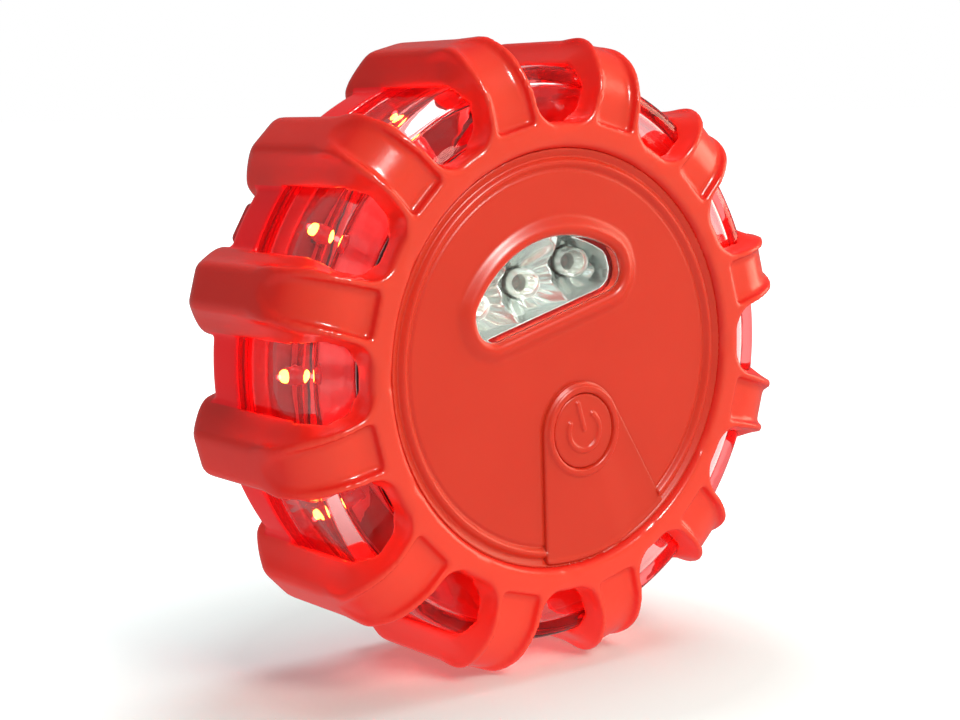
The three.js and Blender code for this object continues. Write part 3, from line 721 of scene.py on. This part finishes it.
def side_led(number):
    """Red diode that looks outwards: a flange, a round body with a lit dome, and two legs."""
    section = [(0, 0), (LED_FLANGE, 0), (LED_FLANGE, 1.1), (LED_HALF, 1.3), (LED_HALF, LED_STRAIGHT)]
    points, faces = revolve(section + dome(LED_HALF, LED_STRAIGHT, LED_DOME), 24)
    points = np.stack([points[:, 1] + LED_SEAT_R, LED_D + points[:, 0], points[:, 2]], -1)
    wires = legs(((LED_SEAT_R + 0.3, LEG_APART), (LED_SEAT_R + 0.3, -LEG_APART)), LED_D + 1, BOARD_D)
    points, faces = joined((points, faces), wires)
    turn = PITCH * (number - 1)
    made = piece(f"red_lamp_{number:02d}", points, faces, RED_EPOXY, "body", turn)
    made.data.materials.append(RED_LED if number in LIT_LAMPS else DIM_LED)
    made.data.materials.append(STEEL)
    a = math.radians(turn)
    for face in made.data.polygons:
        x, d, z = face.center
        reach = ((x - AXIS.x) * math.cos(a) + (z - AXIS.z) * math.sin(a)) / MM
        behind = (d - AXIS.y) / MM - LED_D
        face.material_index = 1 if reach > LED_SEAT_R + LED_TIP else 2 if behind > 1.9 else 0
    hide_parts(f"side_led_{number:02d}")


def side_reflector():
    """Cone behind the diodes that throws their light outwards; its red colour and glow are painted light from
    the diodes.
    """
    section = [(34.2, 6.9), (36.4, 6.9), (36.9, 9), (37.6, 13), (38.3, 16), (38.9, 17.8), (34.2, 17.8)]
    points, faces = revolve(section, 120)
    made = piece("reflector_cone", points, faces, LIT_RED, "body")
    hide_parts("side_reflector")


# ---------------------------------------------------------------- torch

BOWL_PITCH, BOWL_Z = 10.6, 12.6
BOWL_FLOOR_D, BOWL_RIM_D, BOWL_R = 10.8, 3.4, 7.4
BOWL_FACETS, FACET_DEEP, FACET_R = 10, 0.22, (2.5, 4.5)
BOWL_INSET = 0.5  # from the window's outline
BLOCK_FRONT_D, BLOCK_BACK_D, BLOCK_INSET = 3.6, 14, 0.25
PANE_D, PANE_HALF = 1.6, 0.4  # middle of the pane, and half its thickness
TORCH_LED_R = 2.5
TORCH_LED_TIP_D = 4.8
TORCH_LED_SEAT_D = 12.6


def reflector_field(x, d, z):
    """D-shaped block with three overlapping parabolic bowls."""
    outline = torch_distance(x, z)
    block = np.maximum(outline + BLOCK_INSET, np.maximum(BLOCK_FRONT_D - d, d - BLOCK_BACK_D))
    bowls = 1e3
    for middle in (-BOWL_PITCH, 0, BOWL_PITCH):
        r = np.hypot(x - middle, z - BOWL_Z)
        facets = FACET_DEEP * np.cos(np.arctan2(z - BOWL_Z, x - middle) * BOWL_FACETS)
        depth = BOWL_FLOOR_D - (BOWL_FLOOR_D - BOWL_RIM_D) * (r / BOWL_R) ** 2
        bowl = (d - depth) * 0.5 + facets * ramp(r, *FACET_R)
        bowl = np.minimum(bowl, r - TORCH_LED_R - 0.1)
        bowls = np.minimum(bowls, bowl)
    return np.maximum(block, -np.maximum(bowls, outline + BOWL_INSET))


def pane_field(x, d, z):
    """Thin clear pane in the torch window."""
    return np.maximum(torch_distance(x, z) + 0.02, np.abs(d - PANE_D) - PANE_HALF)


def white_led(number):
    """White diode in a bowl of the torch: a round body with a dome, and two legs."""
    seat, neck = TORCH_LED_SEAT_D, TORCH_LED_TIP_D + TORCH_LED_R
    section = [(0, seat), (TORCH_LED_R, seat), (TORCH_LED_R, neck), *dome(TORCH_LED_R, neck, -TORCH_LED_R)]
    wires = legs(((1.15, 0), (-1.15, 0)), seat - 0.2, BOARD_D)
    points, faces = joined(revolve(section, 32), wires)
    points = points + np.array([(number - 2) * BOWL_PITCH, 0, BOWL_Z])
    lamp = piece(f"white_lamp_{number}", points, faces, WHITE_LED, "body", FACE_TURN)
    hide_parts(f"torch_led_{number}")


def torch():
    """Pane, reflector and the three white diodes."""
    points, faces = carve(pane_field, (-16, 1.1, 6), (16, 2.1, 21), (0.3, 0.2, 0.3))
    pane = piece("torch_pane", points, faces, WINDOW, "body", FACE_TURN)
    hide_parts("torch_window")
    points, faces = carve(reflector_field, (-16, 3.6, 6), (16, 14.4, 21), (0.25, 0.25, 0.25))
    made = piece("triple_reflector", points, faces, CHROME, "body", FACE_TURN)
    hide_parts("torch_reflector")
    for number in (1, 2, 3):
        white_led(number)


# ---------------------------------------------------------------- rear housing and its fittings

CASE_R, CASE_FRONT_D, CASE_BACK_D = 38.2, 20.1, 33.2
FLANGE_R, FLANGE_BACK_D = 41, 30.7
CASE_ROUND, CASE_GROOVE_R = 1.4, 35.2
HOLLOW_INNER_R, HOLLOW_R, HOLLOW_BACK_D = 28, 39.2, 31  # the ring-shaped hollow in the case
HOLLOW_TAPER, HOLLOW_TAPER_D = 1.27, 28.8
BAY_X, BAY_Z, BAY_FLOOR_D = 26, 17.6, 21.1
SCREW_X, SCREW_Z = 15, 25.4
SHANK_HOLE_R, HEAD_HOLE_R, HEAD_HOLE_D = 1.6, 2.9, 31.2
PILOT_R, PILOT_D = 1.5, 27  # the hole that the door screw bites in
DOOR_X, DOOR_Z, DOOR_CORNER = 28, 19.3, 5
DOOR_FRONT_D, DOOR_BACK_D, DOOR_HEAD_HOLE_D = 32.2, 34, 32.9
DOOR_LUG_R, DOOR_SCREW_Z = 4.4, -23
GRIP_RIBS_X, GRIP_RIB_HALF, GRIP_RIB_HALF_Z = (19.6, 22, 24.4), 0.55, 8
CUP_R, CUP_WALL, CUP_BACK_D = 12.2, 0.8, 36.3
CUP_FRONT_D = 33.5
MAGNET_R, MAGNET_D = 11.1, 34.3
HINGE_D, HINGE_BORE_R, HINGE_BORE_X = 35, 1.25, 27
EAR_X, EAR_HALF_X, EAR_HALF_Z = 30.6, 1.6, 1.8
BAIL_INNER_R, BAIL_OUTER_R = 33.3, 36.8
EYE_R, EYE_HOLE_R = 1.5, 0.95
TAB_HALF, TAB_END_R = 3.7, 45.6
TAB_GRIPS_Z, TAB_GRIP_HIGH, TAB_GRIP_HALF = (43.4, 41.6, 39.8), 0.28, 2.6
HEAD_R, HEAD_HIGH, HEAD_CROWN = 2.5, 1.3, 0.05
CROSS_HALF, CROSS_REACH, CROSS_DEEP = 0.35, 1.5, 0.95
SHANK_R, SHANK_TOP, THREAD_DEEP, THREAD_PITCH = 1.2, -1.2, 0.28, 0.9
PIN_START, PIN_END, PIN_R = 29.6, 36.5, 0.65


def door_distance(x, z):
    """Distance from the outline of the battery door with its screw lug."""
    lug = np.hypot(x, z - DOOR_SCREW_Z) - DOOR_LUG_R
    return low(box_distance(x, z, DOOR_X, DOOR_Z, DOOR_CORNER), lug, 0.6)


def housing_field(x, d, z):
    """Rear housing with its ears, battery bay, door recess and holes."""
    r = np.hypot(x, z)
    shell = high(r - CASE_R, d - CASE_BACK_D + 0.35 * bell(r, CASE_GROOVE_R, 0.6), CASE_ROUND)
    shell = np.minimum(shell, high(r - FLANGE_R, d - FLANGE_BACK_D, 0.5))
    ear = box_distance(np.abs(x) - EAR_X, z, EAR_HALF_X, EAR_HALF_Z, 0.5)
    ear = high(np.maximum(ear, CASE_BACK_D - 0.5 - d), d - CUP_BACK_D, 0.6)
    body = low(np.maximum(shell, CASE_FRONT_D - d), ear, 0.5)
    cavity = np.maximum(HOLLOW_INNER_R - r, r - HOLLOW_R + HOLLOW_TAPER * np.maximum(d - HOLLOW_TAPER_D, 0))
    cavity = np.maximum(cavity, d - HOLLOW_BACK_D)
    bay = np.maximum(box_distance(x, z, BAY_X, BAY_Z, 0.8), BAY_FLOOR_D - d)
    recess = np.maximum(door_distance(x, z) - GAP, DOOR_FRONT_D - GAP - d)
    screw = np.hypot(np.abs(x) - SCREW_X, np.abs(z) - SCREW_Z)
    holes = np.minimum(screw - SHANK_HOLE_R, np.maximum(screw - HEAD_HOLE_R, HEAD_HOLE_D - d))
    pilot = np.maximum(np.hypot(x, z - DOOR_SCREW_Z) - PILOT_R, PILOT_D - d)
    bore = np.maximum(np.hypot(z, d - HINGE_D) - HINGE_BORE_R, HINGE_BORE_X - np.abs(x))
    for hollow in (cavity, bay, recess, holes, pilot, bore):
        body = high(body, -hollow, 0.25)
    return body


def door_field(x, d, z):
    """Battery door with the cup that holds the magnet and three grip ribs."""
    plate = high(door_distance(x, z), d - DOOR_BACK_D, 0.7)
    r = np.hypot(x, z)
    cup = high(np.abs(r - CUP_R) - CUP_WALL, d - CUP_BACK_D, 0.4)
    body = low(np.maximum(plate, DOOR_FRONT_D - d), np.maximum(cup, CUP_FRONT_D - d), 0.7)
    for rib in GRIP_RIBS_X:
        ridge = box_distance(x - rib, z, GRIP_RIB_HALF, GRIP_RIB_HALF_Z, GRIP_RIB_HALF)
        body = low(body, high(np.maximum(ridge, CUP_FRONT_D - d), d - DOOR_BACK_D - GRIP_RIB_HALF, 0.5), 0.4)
    screw = np.hypot(x, z - DOOR_SCREW_Z)
    hole = np.minimum(screw - SHANK_HOLE_R, np.maximum(screw - HEAD_HOLE_R, DOOR_HEAD_HOLE_D - d))
    return high(body, -hole, 0.25)


def bail_field(x, d, z):
    """Half ring with a thumb tab in its middle and an eye at each end."""
    r = np.hypot(x, z)
    ring = np.maximum(np.maximum(r - BAIL_OUTER_R, BAIL_INNER_R - r), -z)
    tab_half_z = (TAB_END_R - BAIL_INNER_R - 0.6) / 2
    tab = box_distance(x, z - TAB_END_R + tab_half_z, TAB_HALF, tab_half_z, 1.2)
    flat = low(ring, tab, 1.6)
    grip = TAB_GRIP_HIGH * sum(bell(z, at, 0.5) for at in TAB_GRIPS_Z) * (np.abs(x) < TAB_GRIP_HALF)
    bar = high(flat, np.abs(d - HINGE_D) - 1 + np.where(d > HINGE_D, grip, 0), 0.6)
    from_hinge = np.hypot(z, d - HINGE_D)
    eye = np.maximum(np.abs(x) - BAIL_OUTER_R, BAIL_INNER_R - np.abs(x))
    eye = np.maximum(from_hinge - EYE_R, eye)
    return high(low(bar, eye, 0.3), EYE_HOLE_R - from_hinge, 0.2)


def screw_head_field(x, d, z):
    """Pan head with a cross recess; its crown is at depth 0."""
    r = np.hypot(x, z)
    head = np.maximum(high(r - HEAD_R, d + HEAD_CROWN * r * r, 0.6), -HEAD_HIGH - d)
    cross = np.minimum(
        np.maximum(np.abs(x) - CROSS_HALF, np.abs(z) - CROSS_REACH),
        np.maximum(np.abs(z) - CROSS_HALF, np.abs(x) - CROSS_REACH),
    )
    return high(head, -np.maximum(cross - 0.25 * d, -CROSS_DEEP - d), 0.15)


def thread_profile(start, end):
    """Closed section of a shank with ridges."""
    root = SHANK_R - THREAD_DEEP
    profile = [(0, start), (SHANK_R, start)]
    for turn in range(int((end - start) / THREAD_PITCH) - 1):
        at = start + turn * THREAD_PITCH
        profile.append((SHANK_R, at + 0.2 * THREAD_PITCH))
        profile.append((root, at + 0.45 * THREAD_PITCH))
        profile.append((root, at + 0.75 * THREAD_PITCH))
    return profile + [(SHANK_R, end), (0, end)]


def screw(name, node, body, x, z, crown_d, length):
    """Screw along the axis, with its crown at a depth."""
    head = carve(screw_head_field, (-2.6, -1.5, -2.6), (2.6, 0.2, 2.6), (0.13, 0.1, 0.13))
    points, faces = joined(head, revolve(thread_profile(-length, SHANK_TOP), 18))
    points = points + np.array([x, crown_d, z])
    made = piece(name, points, faces, STEEL, body, BACK_TURN)
    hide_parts(node)


def hinge_pin(name, node, side):
    """Pin through an eye of the bail, on the side where x is negative or positive."""
    end_r = PIN_R - 0.15
    section = [(0, PIN_START), (end_r, PIN_START), (PIN_R, PIN_START + 0.2)]
    section += [(PIN_R, PIN_END - 0.3), (end_r, PIN_END), (0, PIN_END)]
    points, faces = revolve(section, 20)
    points = np.stack([side * points[:, 1], HINGE_D + points[:, 0], points[:, 2]], -1)
    if side < 0:
        faces = [f[::-1] for f in faces]
    made = piece(name, points, faces, STEEL, "body", BACK_TURN)
    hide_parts(node)


def build_case():
    """Rear housing."""
    points, faces = carve(housing_field, (-41.2, 20, -41.2), (41.2, 36.5, 41.2), (0.5, 0.4, 0.5))
    housing = piece("rear_case", points, faces, RED_ABS, "body", BACK_TURN)
    thin_out(housing, 0.4)
    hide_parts("rear_housing")


def build_door():
    """Battery door, with the magnet in its cup."""
    points, faces = carve(door_field, (-28.4, 32, -28), (28.4, 36.5, 19.6), (0.3, 0.25, 0.3))
    door = piece("battery_hatch", points, faces, RED_ABS, "door", BACK_TURN)
    thin_out(door, 0.5)
    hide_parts("battery_door")
    section = [(0, MAGNET_D), (MAGNET_R, MAGNET_D), (MAGNET_R, DEPTH - 0.35), (MAGNET_R - 0.12, DEPTH - 0.12)]
    section += [(MAGNET_R - 0.35, DEPTH), (2.1, DEPTH), (1.8, DEPTH - 0.3), (0, DEPTH - 0.3)]
    points, faces = revolve(section, 96)
    magnet = piece("holding_magnet", points, faces, NICKEL, "door", BACK_TURN, smooth=False)
    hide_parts("magnet")


def build_bail():
    """Hanging bail, flat against the housing."""
    points, faces = carve(bail_field, (-37.2, 33.8, -1.8), (37.2, 36.2, 45.8), (0.3, 0.2, 0.3))
    bail = piece("wire_bail", points, faces, CLEAR_RED, "bail", BACK_TURN)
    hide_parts("hanging_bail")


def build_fasteners():
    """Door screw, four housing screws and the two pins of the bail."""
    screw("door_fixing", "door_screw", "door", 0, DOOR_SCREW_Z, 34.5, 5.5)
    places = ((SCREW_X, SCREW_Z), (-SCREW_X, SCREW_Z), (SCREW_X, -SCREW_Z), (-SCREW_X, -SCREW_Z))
    for number, (x, z) in enumerate(places, 1):
        screw(f"case_fixing_{number}", f"housing_screw_{number}", "body", x, z, 32.9, 22)
    hinge_pin("hinge_pin_left", "bail_pin_left", -1)
    hinge_pin("hinge_pin_right", "bail_pin_right", 1)


# ---------------------------------------------------------------- carried-over nodes

FINISHES = {
    "front_seal": BLACK,
    "rear_seal": BLACK,
    "button_membrane": BLACK,
    "front_chassis": RED_ABS,
    "main_board": BOARD,
    "tact_switch": BLACK,
    "controller_chip": BLACK,
}
PREFIXES = {
    "battery_cell": SLEEVE,
    "battery_spring": STEEL,
    "contact": STEEL,
}


def finish_nodes():
    """Give the CAD nodes that stay visible their materials."""
    for name, node in frame["nodes"].items():
        found = FINISHES.get(name)
        for prefix, material in PREFIXES.items():
            if name.startswith(prefix):
                found = material
        if found is not None:
            node.data.materials.clear()
            node.data.materials.append(found)


build_bumper()
build_face()
build_lens()
side_reflector()
for led in range(1, TEETH + 1):
    side_led(led)
torch()
build_case()
build_door()
build_bail()
build_fasteners()
finish_nodes()

# ---------------------------------------------------------------- floor, light and camera

TARGET = (0, 0, 0.05)  # the middle of the object
KEY_AT = (0.08, -0.82, 0.76)
LIT_POWER, DIM_POWER = 0.0021, 0.0015
CAMERA_AT = (-0.19443, -0.25402, 0.09159)
AZIMUTH, ELEVATION, ROLL = 36.82, 7.39, -0.78  # degrees
FOCAL_LENGTH = 71.95
FLOOR_REACH = 30.0


def seen_clearly(nodes, links):
    """1 for rays from the camera, straight or through clear plastic, and 0 for the rest."""
    path = nodes.new("ShaderNodeLightPath")
    either = nodes.new("ShaderNodeMath")
    either.operation = "MAXIMUM"
    links.new(path.outputs["Is Camera Ray"], either.inputs[0])
    links.new(path.outputs["Is Transmission Ray"], either.inputs[1])
    return either.outputs[0]


def for_gloss(nodes, links, others, gloss):
    """One number for glossy rays and another for all other rays."""
    path = nodes.new("ShaderNodeLightPath")
    return graded(nodes, links, path.outputs["Is Glossy Ray"], others, gloss)


def floor_material():
    """Pale floor with painted light that lifts it to white away from the object, leaving it darker near the
    object, and that looks dimmer in reflections.
    """
    material, nodes, links, bsdf = shader("pale_floor", (0.8, 0.8, 0.8), 0.7, Specular_IOR_Level=0.1)
    bsdf.inputs["Emission Color"].default_value = (1, 1, 1, 1)
    at = nodes.new("ShaderNodeTexCoord")
    away = nodes.new("ShaderNodeVectorMath")
    away.operation = "LENGTH"
    links.new(at.outputs["Object"], away.inputs[0])
    # painted light: a glow of 0.12 near the object rising to 0.7 farther out
    lift = graded(nodes, links, away.outputs["Value"], 0.12, 0.7, 0.045, 0.105)
    links.new(lift, bsdf.inputs["Emission Strength"])
    # a cyan tone that cancels the red light the object throws on the floor
    mottle(nodes, links, bsdf, (0.67, 0.77, 0.77), (0.66, 0.76, 0.76), 4)
    unseen = nodes.new("ShaderNodeEmission")
    links.new(for_gloss(nodes, links, 1.0, 0.27), unseen.inputs["Strength"])
    surface = nodes["Material Output"].inputs["Surface"]
    mix_surfaces(nodes, links, seen_clearly(nodes, links), unseen.outputs[0], bsdf.outputs[0], surface)
    material.cycles.emission_sampling = "NONE"
    return material


def stage_floor():
    """Level floor under the object."""
    mesh = bpy.data.meshes.new("floor")
    corners = ((-1, -1), (1, -1), (1, 1), (-1, 1))
    mesh.from_pydata([(FLOOR_REACH * a, FLOOR_REACH * b, 0) for a, b in corners], [], [(0, 1, 2, 3)])
    mesh.materials.append(floor_material())
    floor = bpy.data.objects.new("floor", mesh)
    bpy.context.scene.collection.objects.link(floor)


def softbox(name, at, size, power, color=(1, 1, 1)):
    """Square area light that looks at the object."""
    light = bpy.data.lights.new(name, "AREA")
    light.shape = "RECTANGLE"
    light.size = light.size_y = size
    light.energy = power
    light.color = color
    made = bpy.data.objects.new(name, light)
    made.location = at
    made.rotation_euler = (Vector(TARGET) - Vector(at)).to_track_quat("-Z", "Y").to_euler()
    bpy.context.scene.collection.objects.link(made)
    return made


def sun(name, towards, strength, spread):
    """Soft distant light that comes from a direction."""
    light = bpy.data.lights.new(name, "SUN")
    light.energy = strength
    light.angle = math.radians(spread)
    made = bpy.data.objects.new(name, light)
    made.rotation_euler = Vector(towards).to_track_quat("Z", "Y").to_euler()
    bpy.context.scene.collection.objects.link(made)
    return made


def studio_lights():
    """A key light in two halves, one for shading and one for glints, with softer lights round it."""
    key = softbox("key", KEY_AT, 0.4, 6.0, (1.0, 0.95, 0.85))
    glint = softbox("glint", KEY_AT, 0.06, 14, (1.0, 0.97, 0.93))
    softbox("right", (1.1, -0.35, 0.35), 0.7, 5.8, (1.0, 0.88, 0.66))
    back = softbox("back", (0.3, 1.0, 0.9), 0.5, 3)
    above = sun("floor light", (0.4, 0.1, 1.0), 1.85, 40)
    glint.visible_diffuse = False
    for light in (key, back, above):
        light.visible_glossy = False


def diode_light(number):
    """Light that a side diode throws outwards from its tip."""
    turn = math.radians(PITCH * (number - 1))
    light = bpy.data.lights.new(f"diode_light_{number:02d}", "POINT")
    light.energy = LIT_POWER if number in LIT_LAMPS else DIM_POWER
    light.color = (1.0, 0.02, 0.02)
    light.shadow_soft_size = 0.4 * MM
    made = bpy.data.objects.new(light.name, light)
    reach = (LED_SEAT_R + LED_TIP_LIGHT) * MM
    made.location = (AXIS.x + reach * math.cos(turn), AXIS.y + LED_D * MM, AXIS.z + reach * math.sin(turn))
    bpy.context.scene.collection.objects.link(made)


def world(strength, gloss, shown):
    """White surroundings: dim for lighting, brighter in reflections, brightest where they are seen."""
    made = bpy.data.worlds.new("studio")
    bpy.context.scene.world = made
    made.use_nodes = True
    nodes, links = made.node_tree.nodes, made.node_tree.links
    unseen = nodes["Background"]
    unseen.inputs["Color"].default_value = (1, 1, 1, 1)
    links.new(for_gloss(nodes, links, strength, gloss), unseen.inputs["Strength"])
    seen = nodes.new("ShaderNodeBackground")
    seen.inputs["Strength"].default_value = shown
    seen.inputs["Color"].default_value = (1, 1, 1, 1)
    surface = nodes["World Output"].inputs["Surface"]
    mix_surfaces(nodes, links, seen_clearly(nodes, links), unseen.outputs[0], seen.outputs[0], surface)


def camera():
    """Camera left of the disc's axis and a little above it, looking back and to the right."""
    azimuth, elevation, roll = math.radians(AZIMUTH), math.radians(ELEVATION), math.radians(ROLL)
    ahead = math.cos(elevation)
    forward = Vector((math.sin(azimuth) * ahead, math.cos(azimuth) * ahead, -math.sin(elevation)))
    level = Vector((math.cos(azimuth), -math.sin(azimuth), 0))
    above = level.cross(forward)
    right = level * math.cos(roll) + above * math.sin(roll)
    up = above * math.cos(roll) - level * math.sin(roll)
    data = bpy.data.cameras.new("camera")
    data.lens = FOCAL_LENGTH
    data.clip_start, data.clip_end = 0.01, 100
    made = bpy.data.objects.new("camera", data)
    turn = Matrix((right, up, -forward)).transposed().to_4x4()
    made.matrix_world = Matrix.Translation(CAMERA_AT) @ turn
    bpy.context.scene.collection.objects.link(made)
    bpy.context.scene.camera = made


stage_floor()
studio_lights()
for lamp in range(1, TEETH + 1):
    diode_light(lamp)
world(0.16, 0.2, 1.0)
camera()
bpy.context.scene.view_settings.view_transform = "Standard"
